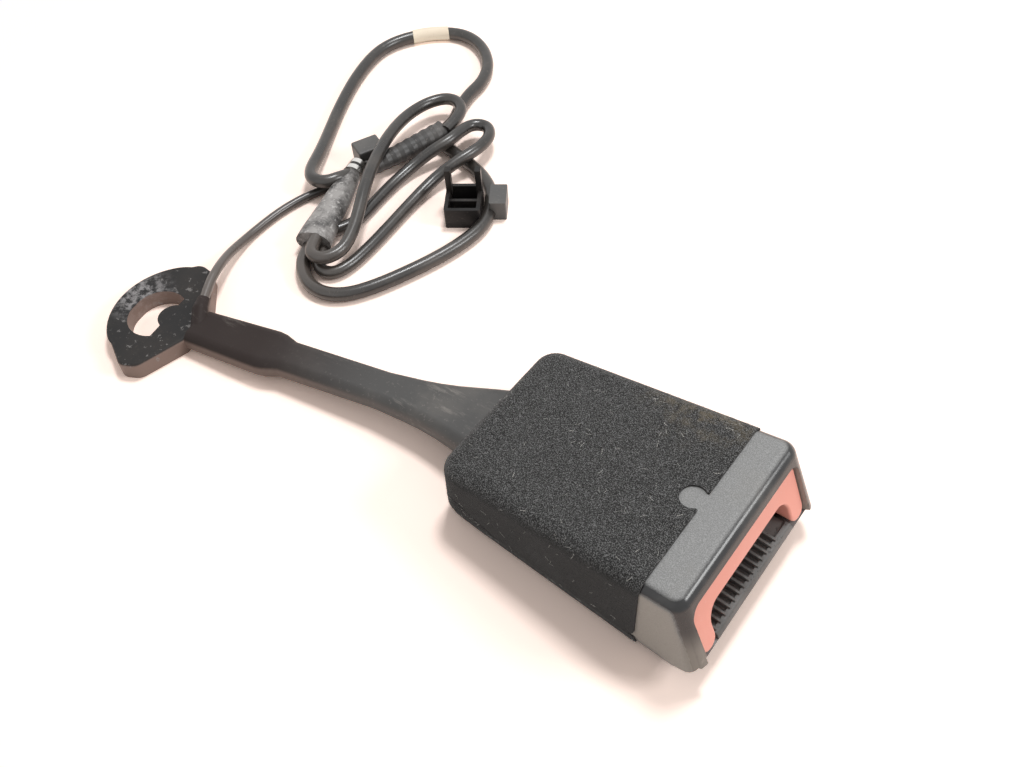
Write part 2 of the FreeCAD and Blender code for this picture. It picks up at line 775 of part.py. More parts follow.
def make_ejector():
    low = tongue_plane + slide_gap
    high = low + ejector_height
    inner = tooth_half_width + ejector_prong_gap
    outer = inner + ejector_prong
    bar = box(ejector_bar_rear, ejector_bar_rear + ejector_bar, -outer, outer, low, high)
    prong = box(ejector_bar_rear, ejector_front, inner, outer, low, high)
    keel = box(ejector_front - keel_length, ejector_front, switch_side - keel_half_width,
               switch_side + keel_half_width, keel_low, low + 1)
    body = bar.fuse(both_sides(prong)).fuse(keel).removeSplitter()
    return round_edges(body, prong_round, lambda e: upright(e) and on_plain_prong(e))


def on_plain_prong(edge):
    """Whether an edge is at the tip of the prong without the keel."""
    return edge.CenterOfMass.x > ejector_front - 0.1 and edge.CenterOfMass.y > 0


def make_lock():
    high = lock_under + lock_steel
    plate = box(lock_rear, lock_front, -lock_half_width, lock_half_width, lock_under, high)
    plate = round_edges(plate, 1.0, lambda e: along(e, X_AXIS) and e.CenterOfMass.z > high - 0.1)
    tip = latch_bar_rear - lock_nose_gap
    nose = side_prism([
        (lock_nose_rear, lock_under + 0.5), (lock_nose_rear, lock_nose_low), (lock_nose_flat, lock_nose_low),
        (tip, lock_nose_tip_low), (tip, lock_under + 0.5),
    ], lock_nose_half)
    ear_front = arm_rear - button_travel - lock_travel - slide_gap
    ear = box(lock_rear, ear_front, lock_ear_inner, lock_half_width, lock_ear_low, lock_under + 0.5)
    return plate.fuse([nose, both_sides(ear)]).removeSplitter()


# Springs

def coil(start, axis, across, radius, length, turns):
    """A spring of square wire: flat facets between squares set along a helix."""
    up = axis.cross(across)
    half = spring_wire / 2
    steps = turns * spring_corners
    rings = []
    for i in range(steps + 1):
        angle = 2 * math.pi * i / spring_corners
        out = across * math.cos(angle) + up * math.sin(angle)
        place = start + axis * (half + (length - spring_wire) * i / steps)
        rings.append([
            place + out * (radius - half) - axis * half, place + out * (radius + half) - axis * half,
            place + out * (radius + half) + axis * half, place + out * (radius - half) + axis * half,
        ])
    faces = [flat(rings[0]), flat(rings[-1])]
    for here, there in zip(rings, rings[1:]):
        for k in range(4):
            m = (k + 1) % 4
            faces.append(flat([here[k], here[m], there[m]]))
            faces.append(flat([here[k], there[m], there[k]]))
    return Part.makeSolid(Part.makeShell(faces))


def flat(points):
    return Part.Face(Part.makePolygon(points + [points[0]]))


# Switch

def make_switch():
    high = tongue_plane - frame_steel
    low = high - switch_height
    wide = switch_half_width
    case = box(switch_rear, switch_rear + switch_length, switch_side - wide, switch_side + wide, low, high)
    case = round_edges(case, 0.8, upright)
    w = switch_wall
    room = box(switch_rear + w, switch_rear + switch_length - w, switch_side - wide + w,
               switch_side + wide - w, low + w, high - w)
    half = plunger_stem + slide_gap / 2
    mid = (low + high) / 2
    port = box(switch_rear + switch_length - w - 1, switch_rear + switch_length + 1, switch_side - half,
               switch_side + half, mid - half, mid + half)
    return case.cut(room).cut(port)


def make_plunger():
    high = tongue_plane - frame_steel
    mid = high - switch_height / 2
    tip = ejector_front - keel_length - (ejector_travel - plunger_travel) - plunger_tip_gap
    inside = switch_rear + switch_length - switch_wall - slide_gap
    half = plunger_stem
    stem = box(inside - 1, tip, switch_side - half, switch_side + half, mid - half, mid + half)
    wide = switch_half_width - switch_wall - slide_gap
    tall = switch_height / 2 - switch_wall - slide_gap
    rear = inside - 6
    block = box(rear, inside, switch_side - wide, switch_side + wide, mid - tall, mid + tall)
    stem = round_edges(stem, 0.8, lambda e: e.CenterOfMass.x > tip - 0.1)
    return block.fuse(stem).removeSplitter()


# Screws and bosses of the shells

def boss(sign, low, high):
    return rod(V(boss_x, sign * boss_y, low), boss_radius, high - low, Z_AXIS)


def screw_places():
    return [V(boss_x, boss_y, 0), V(boss_x, -boss_y, 0)]


def make_screws():
    low = screw_seat()
    parts = []
    for p in screw_places():
        shank = rod(V(p.x, p.y, low), screw_radius, screw_length, Z_AXIS)
        cap = rod(V(p.x, p.y, low - screw_head), screw_head_radius, screw_head, Z_AXIS)
        cross = box(p.x - 1.4, p.x + 1.4, p.y - 0.3, p.y + 0.3, low - screw_head - 1, low - screw_head + 0.8)
        cross = cross.fuse(box(p.x - 0.3, p.x + 0.3, p.y - 1.4, p.y + 1.4, low - screw_head - 1,
                               low - screw_head + 0.8))
        parts.append(shank.fuse(cap).cut(cross).removeSplitter())
    return Part.makeCompound(parts)


def screw_seat():
    """Height of the ledge that the screw heads press on."""
    return under_rise + screw_sink + screw_head


def add_bosses(upper, lower):
    low = screw_seat()
    for p in screw_places():
        post = rod(V(p.x, p.y, boss_split), boss_radius, front_height, Z_AXIS)
        upper = upper.fuse(post.common(upper_form(-shell_wall / 2)))
        stub = rod(V(p.x, p.y, -1), boss_radius + 1, boss_split + 1, Z_AXIS)
        inside = lower_form(-shell_wall / 2).fuse(rear_form(-shell_wall / 2))
        lower = lower.fuse(stub.common(inside))
        shank = rod(V(p.x, p.y, low), screw_radius, screw_length, Z_AXIS)
        sink = rod(V(p.x, p.y, -1), screw_head_radius + 0.2, low + 1, Z_AXIS)
        upper = upper.cut(shank)
        lower = lower.cut(shank).cut(sink)
    return upper, lower


def spring_seats():
    """Ribs on the upper shell's sides that the button springs push against."""
    half = 2.0
    seat = box(button_spring_rear - 2, button_spring_rear, frame_half_width + 0.6, front_half_width,
               button_spring_z - half, button_spring_z + half)
    return both_sides(seat).common(upper_form(-shell_wall / 2))


# Stalk, in its own frame with X from the anchor to the head

def axis_height(reach):
    share = (reach - stalk_start) / (stalk_reach - stalk_start)
    return axis_height_anchor + (axis_height_head - axis_height_anchor) * share


def round_section(x, y, z, half_width, half_height, radius):
    """A rounded rectangle that faces along X."""
    block = box(x, x + 1, y - half_width, y + half_width, z - half_height, z + half_height)
    block = round_edges(block, radius, lambda e: along(e, X_AXIS))
    for face in block.Faces:
        if abs(face.CenterOfMass.x - x) < 0.01:
            return face.OuterWire
    return block.Faces[0].OuterWire


def make_sleeve():
    wires = []
    near_head = [(stalk_reach - back, wide, tall) for back, wide, tall in flare_sections]
    for reach, wide, tall in sleeve_sections + near_head:
        wires.append(round_section(reach, 0, axis_height(reach), wide, tall, tall * sleeve_corner_share))
    return Part.makeLoft(wires, True, True)


def inclined_rod(reach0, reach1, side, radius):
    start = V(reach0, side, axis_height(reach0))
    end = V(reach1, side, axis_height(reach1))
    return rod(start, radius, (end - start).Length, end - start)


def make_rope():
    return inclined_rod(rope_start, stalk_reach - rope_end, rope_side, rope_radius)


def make_anchor_ferrule():
    barrel = box(ferrule_start, ferrule_end, rope_side - ferrule_half_width, rope_side + ferrule_half_width,
                 axis_height(ferrule_start) - ferrule_half_thickness,
                 axis_height(ferrule_start) + ferrule_half_thickness)
    barrel = round_edges(barrel, ferrule_half_thickness * 0.7, lambda e: along(e, X_AXIS))
    low = plate_low + plate_steel
    high = low + anchor_tab_steel
    tab = box(anchor_tab_start, ferrule_start + 1, -tang_half_width, tang_half_width, low, high)
    body = barrel.fuse(tab).cut(inclined_rod(rope_start, ferrule_end + 5, rope_side, rope_radius))
    return body.cut(rivet_rods(anchor_rivet_places(), rivet_radius, plate_low, low + anchor_tab_steel))


def anchor_rivet_places():
    return [V(anchor_rivet_start + i * rivet_pitch, 0, 0) for i in range(2)]


def make_head_ferrule():
    face = stalk_reach
    barrel = inclined_rod(face - head_ferrule_start, face - head_ferrule_end, rope_side, head_ferrule_radius)
    high = tongue_plane - frame_steel
    low = high - frame_steel
    wide = face + stalk_into_head + 1
    tab = box(wide, face + head_tab_end, rope_side - head_tab_half_width,
              rope_side + head_tab_half_width, low, high)
    tab = round_edges(tab, head_tab_round, lambda e: upright(e) and e.CenterOfMass.x > wide + 1)
    link = box(face - head_tab_start, wide + 1, rope_side - head_ferrule_radius,
               rope_side + head_ferrule_radius, low, high)
    body = barrel.fuse([tab, link])
    body = body.cut(make_rope())
    places = [V(face + head_rivet_start + i * rivet_pitch, rope_side, 0) for i in range(2)]
    return body.cut(rivet_rods(places, rivet_radius, high - frame_steel, high)).removeSplitter()


# Anchor, in the stalk's frame

def anchor_outline():
    corners = [anchor_shoulder, anchor_ear, anchor_ear_front]
    far = [V(x - anchor_skew * y, y, 0) for x, y in corners]
    near = [V(x + anchor_skew * y, -y, 0) for x, y in corners]
    nx, ny = anchor_neck
    points = far + [V(nx, ny, 0), V(nx, -ny, 0)] + near[::-1]
    edges = [Part.Arc(near[0], V(anchor_back, 0, 0), far[0]).toShape()]
    for a, b in zip(points, points[1:]):
        edges.append(Part.LineSegment(a, b).toShape())
    return Part.Face(Part.Wire(edges))


def anchor_block(inset, low, high):
    body = anchor_outline().extrude(V(0, 0, high - low))
    body.translate(V(0, 0, low))
    if inset:
        face = anchor_outline().makeOffset2D(-inset)
        body = face.extrude(V(0, 0, high - low))
        body.translate(V(0, 0, low))
    return round_edges(body, ear_round - min(inset, ear_round - 1), lambda e: upright(e) and near_ear(e))


def near_ear(edge):
    return abs(edge.CenterOfMass.y) > anchor_shoulder[1] + 3


def anchor_hole(grow, low, high):
    radius = hole_radius + grow
    disc = rod(V(0, 0, low), radius, high - low, Z_AXIS)
    drawn = rod(V(0, -hole_near, low), radius, high - low, Z_AXIS)
    disc = disc.fuse([drawn, box(-radius, radius, -hole_near, 0, low, high)])
    flat_cut = box(hole_flat + grow, beyond, -beyond, beyond, low - 1, high + 1)
    bump_x = hole_flat - hole_bump_reach + hole_bump_radius
    bump = rod(V(bump_x, 0, low - 1), hole_bump_radius - grow, high - low + 2, Z_AXIS)
    return disc.cut(flat_cut).cut(bump)


def make_sheath(plate, inside):
    body = anchor_block(0, 0, sheath_thickness)
    body = round_edges(body, sheath_round, lambda e: e.BoundBox.ZMin > sheath_thickness - 0.01)
    body = body.cut(anchor_hole(0, -1, sheath_thickness + 1))
    return body.cut(plate).cut(inside)


def make_plate():
    high = plate_low + plate_steel
    body = anchor_block(plate_inset, plate_low, high)
    tang = box(0, tang_end, -tang_half_width, tang_half_width, plate_low, high)
    body = body.fuse(tang).cut(anchor_hole(hole_lining, plate_low - 1, high + 1))
    return body.cut(rivet_rods(anchor_rivet_places(), rivet_radius, plate_low, high)).removeSplitter()


# Cords

def route_wire(points):
    """Straight runs joined by arcs that touch them, with the arcs' radii."""
    spots = [V(*p) for p in points]
    edges = []
    radii = []
    at = spots[0]
    for before, corner, after in zip(spots, spots[1:], spots[2:]):
        into = corner - before
        out = after - corner
        half_turn = into.getAngle(out) / 2
        if half_turn < 0.001:
            continue
        trim = arc_share * min(into.Length, out.Length)
        radius = trim / math.tan(half_turn)
        into.normalize()
        out.normalize()
        start = corner - into * trim
        end = corner + out * trim
        inward = out - into
        inward.normalize()
        middle = corner + inward * (radius / math.cos(half_turn) - radius)
        edges.append(Part.LineSegment(at, start).toShape())
        edges.append(Part.Arc(start, middle, end).toShape())
        radii.append(radius)
        at = end
    edges.append(Part.LineSegment(at, spots[-1]).toShape())
    return Part.Wire(edges), radii


def tube(points, radius):
    wire, radii = route_wire(points)
    run = V(*points[1]) - V(*points[0])
    ring = Part.Wire(Part.makeCircle(radius, V(*points[0]), run))
    body = wire.makePipeShell([ring], True, False)
    return body, wire.Length, radii


def make_cord(name, points, diameter):
    body, length, radii = tube(points, diameter / 2)
    section = math.pi * diameter ** 2 / 4
    print(name, "length", round(length, 1), "volume ratio", round(body.Volume / (section * length), 4),
          "radii in diameters", [round(r / diameter, 1) for r in radii])
    return body


def turned_box(size, centre, angle, low):
    body = box(-size[0] / 2, size[0] / 2, -size[1] / 2, size[1] / 2, 0, size[2])
    return placed(body, centre, angle, low)


def placed(body, centre, angle, low):
    moved = body.copy()
    moved.rotate(V(0, 0, 0), Z_AXIS, angle)
    moved.translate(V(centre[0], centre[1], low))
    return moved


def oval(x, y, z, half_width, half_height, heading):
    ring = Part.Wire(Part.makeCircle(1, V(0, 0, 0), X_AXIS))
    stretch = FreeCAD.Matrix()
    stretch.scale(V(1, half_width, half_height))
    ring = ring.transformGeometry(stretch)
    ring.rotate(V(0, 0, 0), Z_AXIS, heading)
    ring.translate(V(x, y, z))
    return ring


def heading_of(a, b):
    return math.degrees(math.atan2(b[1] - a[1], b[0] - a[0]))


def make_boot():
    last = len(boot_sections) - 1
    wires = []
    for i, (x, y, z, wide, tall) in enumerate(boot_sections):
        turn = heading_of(boot_sections[max(i - 1, 0)], boot_sections[min(i + 1, last)])
        wires.append(oval(x, y, z, wide, tall, turn))
    return Part.makeLoft(wires, True, False)


def make_tie():
    """Two bands that follow the boot's taper between its first two sections."""
    first, second = boot_sections[0], boot_sections[1]
    start = V(*first[:3])
    run = V(*second[:3]) - start
    gap = run.Length
    run.normalize()
    bands = []
    for reach in tie_bands:
        radii = []
        for distance in (reach - tie_width / 2, reach + tie_width / 2):
            radii.append(first[3] + (second[3] - first[3]) * distance / gap)
        low = start + run * (reach - tie_width / 2)
        outer = Part.makeCone(radii[0] + tie_thickness, radii[1] + tie_thickness, tie_width, low, run)
        bands.append(outer.cut(Part.makeCone(radii[0] - tie_bite, radii[1] - tie_bite, tie_width, low, run)))
    return Part.makeCompound(bands)


def make_tape():
    start = V(*tape_start)
    end = V(*tape_end)
    turn = heading_of(tape_start, tape_end)
    steps = 2 * tape_ribs
    wires = []
    for i in range(steps + 1):
        share = i / steps
        spot = start + (end - start) * share
        radius = tape_radius_start + (tape_radius_end - tape_radius_start) * share
        radius = radius - tape_rib_depth * (i % 2)
        wires.append(oval(spot.x, spot.y, spot.z, radius, radius - 0.4, turn))
    return Part.makeLoft(wires, True, True)


def make_label(cord):
    stretch = sleeve_route[label_point - 2:label_point + 3]
    body = tube(stretch, sleeve_diameter / 2 + label_thickness)[0]
    at = V(*sleeve_route[label_point])
    run = V(*sleeve_route[label_point + 1]) - at
    run.normalize()
    middle = at + run * label_past
    wide = 4 * sleeve_diameter
    turn = heading_of(sleeve_route[label_point - 1], sleeve_route[label_point + 1])
    reach = turned_box((label_length, wide, wide), middle, turn, -1)
    return body.common(reach).cut(cord)


def make_plug():
    long, wide, tall = plug_size
    w = plug_wall
    body = box(-long / 2, long / 2, -wide / 2, wide / 2, 0, tall)
    body = round_edges(body, 0.8, upright)
    room = box(-long / 2 + w, long / 2 - w, -wide / 2 + w, wide / 2 - w, w, tall + 1)
    body = body.cut(room)
    web = box(-long / 2 + w - 1, long / 2 - w + 1, -0.7, 0.7, 0, tall - 1.5)
    px, py = prong_size
    prongs = []
    for sign in (-1, 1):
        x0 = -long / 2 if sign < 0 else long / 2 - px
        prongs.append(box(x0, x0 + px, wide / 2 - py - 1, wide / 2 - 1, tall - 2, tall + prong_height))
    return placed(body.fuse([web] + prongs).removeSplitter(), plug_centre, plug_angle, 0)


# Build

upper_shell, upper_pile = make_upper()
lower_shell, lower_pile = make_lower()
upper_shell, lower_shell = add_bosses(upper_shell, lower_shell)
upper_shell = upper_shell.fuse(spring_seats()).removeSplitter()
for p in screw_places():
    lower_pile = lower_pile.cut(rod(V(p.x, p.y, -1), screw_head_radius + 0.4, under_rise + 4, Z_AXIS))

in_head_frame = {
    "upper_shell": upper_shell,
    "upper_velour": upper_pile,
    "lower_shell": lower_shell,
    "lower_velour": lower_pile,
    "release_button": make_button(),
    "mouth_comb": make_comb(),
    "frame": make_frame(),
    "frame_rivets": make_rivets(frame_rivet_places(), tongue_plane - 2 * frame_steel, tongue_plane),
    "latch": make_latch(),
    "ejector": make_ejector(),
    "lock_slide": make_lock(),
    "switch_housing": make_switch(),
    "switch_plunger": make_plunger(),
    "shell_screws": make_screws(),
}
button_spring = coil(V(button_spring_rear, button_spring_side, button_spring_z), X_AXIS, Z_AXIS,
                     button_spring_radius, arm_rear - button_spring_rear, button_spring_turns)
in_head_frame["button_spring_left"] = button_spring
in_head_frame["button_spring_right"] = mirrored(button_spring)
seat_front = seat_x + seat_length
in_head_frame["ejector_spring"] = coil(
    V(seat_front, ejector_spring_side, ejector_spring_z), X_AXIS, Z_AXIS, ejector_spring_radius,
    ejector_bar_rear - seat_front, ejector_spring_turns)
in_head_frame["latch_spring"] = coil(
    V(latch_pivot_x, latch_spring_start, latch_pivot_z), Y_AXIS, X_AXIS, latch_spring_radius,
    latch_spring_length, latch_spring_turns)

head_ferrule = make_head_ferrule()
rope = make_rope()
anchor_ferrule = make_anchor_ferrule()
anchor_plate = make_plate()
anchor_rivets = make_rivets(anchor_rivet_places(), plate_low, plate_low + plate_steel + anchor_tab_steel)

switch_low = tongue_plane - frame_steel - switch_height / 2
turn_back = FreeCAD.Rotation(Z_AXIS, -stalk_angle)
switch_end = turn_back.multVec(V(switch_rear + switch_wall / 2, switch_side, 0) + head_origin())
wire_points = [(u, v, axis_height(u) - drop) for u, v, drop in wire_route]
wire_points.append((switch_end.x, switch_end.y, switch_low))
switch_wires = tube(wire_points, wire_radius)[0]

lead_start = V(*lead_route[0])
lead_run = V(*lead_route[1]) - lead_start
lead_run.normalize()
lug_base = lead_start - lead_run * lug_length
lead_lug = Part.makeCone(lug_base_radius, lug_tip_radius, lug_length, lug_base, lead_run)
root_run = V(*lug_root) - lug_base
lug_foot = Part.makeCone(lug_base_radius, lug_root_radius, root_run.Length, lug_base, root_run)
lead_lug = lead_lug.fuse([Part.makeSphere(lug_base_radius, lug_base), lug_foot])

stalk_sleeve = in_stalk(make_sleeve()).fuse(lead_lug)
inner_pieces = {
    "head_ferrule": in_stalk(head_ferrule),
    "stalk_cable": in_stalk(rope),
    "anchor_ferrule": in_stalk(anchor_ferrule),
    "anchor_plate": in_stalk(anchor_plate),
    "anchor_rivets": in_stalk(anchor_rivets),
    "switch_wires": in_stalk(switch_wires),
}
for piece in inner_pieces.values():
    stalk_sleeve = stalk_sleeve.cut(piece)
anchor_sheath = in_stalk(make_sheath(anchor_plate, anchor_rivets))
anchor_sheath = anchor_sheath.cut(stalk_sleeve)
for name in ("anchor_ferrule", "switch_wires"):
    anchor_sheath = anchor_sheath.cut(inner_pieces[name])

cords = {
    "signal_lead": make_cord("signal_lead", lead_route, lead_diameter),
    "loop_sleeve": make_cord("loop_sleeve", sleeve_route, sleeve_diameter),
    "inner_loop": make_cord("inner_loop", inner_route, loop_diameter),
    "return_loop": make_cord("return_loop", return_route, loop_diameter),
    "outer_loop": make_cord("outer_loop", outer_route, sleeve_diameter),
}
all_cords = list(cords.values())
boot = make_boot()
tape = make_tape()
tie = make_tie()
inline = turned_box(inline_size, inline_centre, inline_angle, 0.2)
inline = round_edges(inline, inline_round, lambda e: True)
lead_pieces = {
    "splice_boot": boot.cut(tape).cut(tie).cut(all_cords),
    "cable_tie": tie.cut(tape).cut(all_cords),
    "taped_section": tape.cut(all_cords),
    "inline_connector": inline.cut(tape).cut(boot).cut(tie).cut(all_cords),
    "label_band": make_label(cords["loop_sleeve"]),
    "plug_housing": make_plug().cut(all_cords),
}
clip = turned_box(clip_size, clip_centre, clip_angle, 0.0)
clip = round_edges(clip, clip_round, upright)
lead_pieces["strap_clip"] = clip.cut(lead_pieces["plug_housing"]).cut(all_cords)

for name, shape in in_head_frame.items():
    in_head_frame[name] = in_head(shape)
in_head_frame["switch_housing"] = in_head_frame["switch_housing"].cut(inner_pieces["switch_wires"])
covers = {"stalk_sleeve": stalk_sleeve, "anchor_sheath": anchor_sheath}
for group in (in_head_frame, inner_pieces, covers, cords, lead_pieces):
    for name, shape in group.items():
        save(name, shape)
for name, shape in solids.items():
    print(name, shape.isValid(), len(shape.Solids), round(shape.Volume, 1))
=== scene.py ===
import bmesh
import bpy
import json
import math
import random
from mathutils import Vector, Matrix


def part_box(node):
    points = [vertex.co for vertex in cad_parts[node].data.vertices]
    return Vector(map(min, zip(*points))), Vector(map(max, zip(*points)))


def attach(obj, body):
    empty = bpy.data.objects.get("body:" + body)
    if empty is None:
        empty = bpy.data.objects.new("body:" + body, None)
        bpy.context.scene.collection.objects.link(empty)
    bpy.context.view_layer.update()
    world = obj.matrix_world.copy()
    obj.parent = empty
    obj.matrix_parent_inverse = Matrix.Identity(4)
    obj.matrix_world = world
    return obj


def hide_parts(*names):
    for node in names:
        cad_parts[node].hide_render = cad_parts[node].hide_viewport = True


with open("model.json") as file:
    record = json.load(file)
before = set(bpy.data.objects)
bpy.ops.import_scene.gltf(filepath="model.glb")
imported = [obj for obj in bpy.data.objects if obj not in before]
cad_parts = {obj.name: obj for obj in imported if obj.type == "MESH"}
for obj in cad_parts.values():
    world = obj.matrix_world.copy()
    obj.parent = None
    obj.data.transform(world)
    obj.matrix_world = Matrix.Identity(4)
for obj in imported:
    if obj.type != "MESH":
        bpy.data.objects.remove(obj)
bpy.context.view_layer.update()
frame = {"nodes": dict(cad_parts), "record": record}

# Seat belt buckle: looks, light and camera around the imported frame. Metres, and millimetres
# where a value is multiplied by MM. A noise scale is in repeats per metre.

NODES = frame["nodes"]
HEAD_LOW, HEAD_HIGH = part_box("upper_shell")
BODY_OF = {n: body for body, members in frame["record"]["behaviour"]["bodies"].items() for n in members}
SLOT_OF = {row["node"]: row["material_slot"] for row in frame["record"]["subparts"]}
MM = 0.001


def add_object(name, data):
    """A new object that holds the data, in the scene's own collection."""
    made = bpy.data.objects.new(name, data)
    bpy.context.scene.collection.objects.link(made)
    return made


# Camera and light

CAMERA_PLACE = Vector((0.25875, -0.11452, 0.26243))
CAMERA_RIGHT = Vector((0.7967, 0.6019, -0.0540))
CAMERA_UP = Vector((-0.4400, 0.6390, 0.6310))
CAMERA_LENS = 36.23
CAMERA_SENSOR = 36
CAMERA_CLIP = 0.01
BUCKLE_MIDDLE = Vector((0.11, 0.05, 0.01))
WORLD_COLOUR = (1.0, 0.985, 0.97)
WORLD_STRENGTH = 0.42
WHITE = (1.0, 1.0, 1.0)
FLOOR_REACH = 3.0          # half the floor's side
FLOOR_COLOUR = (0.90, 0.88, 0.86)
FLOOR_LIFT = (0.54, 0.31, 0.21)   # added for seen rays, so that the lit floor shows as white
FLOOR_ROUGHNESS = 0.9
FLOOR_NEAR = 0.20          # from here outwards the floor fades to white
FLOOR_FAR = 0.36
LAMPS = [                  # name, place, side, watts, colour
    ("key", (0.04, 0.38, 0.90), 0.2, 4.6, (0.98, 0.99, 1.0)),
    ("fill", (0.05, -0.75, 0.55), 0.8, 0.5, (1.0, 0.97, 0.94)),
    ("rim", (0.68, 0.34, 0.47), 0.2, 1.9, WHITE),
]


def make_camera():
    """The photo's own camera."""
    back = CAMERA_RIGHT.cross(CAMERA_UP).normalized()
    up = back.cross(CAMERA_RIGHT).normalized()
    turn = Matrix((CAMERA_RIGHT.normalized(), up, back)).transposed()
    data = bpy.data.cameras.new("camera")
    data.lens = CAMERA_LENS
    data.sensor_width = CAMERA_SENSOR
    data.clip_start = CAMERA_CLIP
    camera = add_object("camera", data)
    camera.matrix_world = Matrix.Translation(CAMERA_PLACE) @ turn.to_4x4()
    bpy.context.scene.camera = camera


def area_lamp(name, place, size, power, colour):
    """A square lamp that looks at the buckle's middle."""
    data = bpy.data.lights.new(name, "AREA")
    data.shape = "SQUARE"
    data.size = size
    data.energy = power
    data.color = colour
    lamp = add_object(name, data)
    lamp.location = place
    lamp.rotation_euler = (Vector(place) - BUCKLE_MIDDLE).to_track_quat("Z", "Y").to_euler()


def seen_rays(nodes, links):
    """1 for the rays that show a surface to the camera, in a reflection or through glass."""
    path = nodes.new("ShaderNodeLightPath")
    result = path.outputs["Is Camera Ray"]
    for name in ("Is Glossy Ray", "Is Transmission Ray"):
        either = nodes.new("ShaderNodeMath")
        either.operation = "MAXIMUM"
        links.new(result, either.inputs[0])
        links.new(path.outputs[name], either.inputs[1])
        result = either.outputs[0]
    return result


def make_world():
    """Pale light from all around, and plain white where the camera or a reflection sees it."""
    world = bpy.data.worlds.new("studio")
    bpy.context.scene.world = world
    world.use_nodes = True
    nodes, links = world.node_tree.nodes, world.node_tree.links
    nodes.clear()
    plain = nodes.new("ShaderNodeBackground")
    plain.inputs["Color"].default_value = WORLD_COLOUR + (1,)
    plain.inputs["Strength"].default_value = WORLD_STRENGTH
    white = nodes.new("ShaderNodeBackground")
    white.inputs["Color"].default_value = WHITE + (1,)
    white.inputs["Strength"].default_value = 1.0
    mix = nodes.new("ShaderNodeMixShader")
    links.new(seen_rays(nodes, links), mix.inputs[0])
    links.new(plain.outputs[0], mix.inputs[1])
    links.new(white.outputs[0], mix.inputs[2])
    out = nodes.new("ShaderNodeOutputWorld")
    links.new(mix.outputs[0], out.inputs["Surface"])


def make_floor():
    """A plain pale floor that shows as white where it is lit and far away, and keeps the shadows."""
    mesh = bpy.data.meshes.new("floor")
    corners = [(x * FLOOR_REACH, y * FLOOR_REACH, 0) for x, y in ((-1, -1), (1, -1), (1, 1), (-1, 1))]
    mesh.from_pydata(corners, [], [(0, 1, 2, 3)])
    floor = add_object("floor", mesh)
    material = bpy.data.materials.new("floor")
    material.use_nodes = True
    nodes, links = material.node_tree.nodes, material.node_tree.links
    shader = nodes["Principled BSDF"]
    shader.inputs["Base Color"].default_value = FLOOR_COLOUR + (1,)
    shader.inputs["Roughness"].default_value = FLOOR_ROUGHNESS
    lift = nodes.new("ShaderNodeBsdfDiffuse")
    lift.inputs["Color"].default_value = FLOOR_LIFT + (1,)
    both = nodes.new("ShaderNodeAddShader")
    links.new(shader.outputs[0], both.inputs[0])
    links.new(lift.outputs[0], both.inputs[1])
    apart = nodes.new("ShaderNodeVectorMath")
    apart.operation = "DISTANCE"
    links.new(nodes.new("ShaderNodeNewGeometry").outputs["Position"], apart.inputs[0])
    apart.inputs[1].default_value = BUCKLE_MIDDLE
    far = nodes.new("ShaderNodeMapRange")
    far.inputs["From Min"].default_value = FLOOR_NEAR
    far.inputs["From Max"].default_value = FLOOR_FAR
    links.new(apart.outputs["Value"], far.inputs["Value"])
    white = nodes.new("ShaderNodeEmission")
    white.inputs["Strength"].default_value = 1.0
    fade = nodes.new("ShaderNodeMixShader")
    links.new(far.outputs["Result"], fade.inputs[0])
    links.new(both.outputs[0], fade.inputs[1])
    links.new(white.outputs[0], fade.inputs[2])
    mix = nodes.new("ShaderNodeMixShader")
    links.new(seen_rays(nodes, links), mix.inputs[0])
    links.new(shader.outputs[0], mix.inputs[1])
    links.new(fade.outputs[0], mix.inputs[2])
    links.new(mix.outputs[0], nodes["Material Output"].inputs["Surface"])
    mesh.materials.append(material)


# Materials

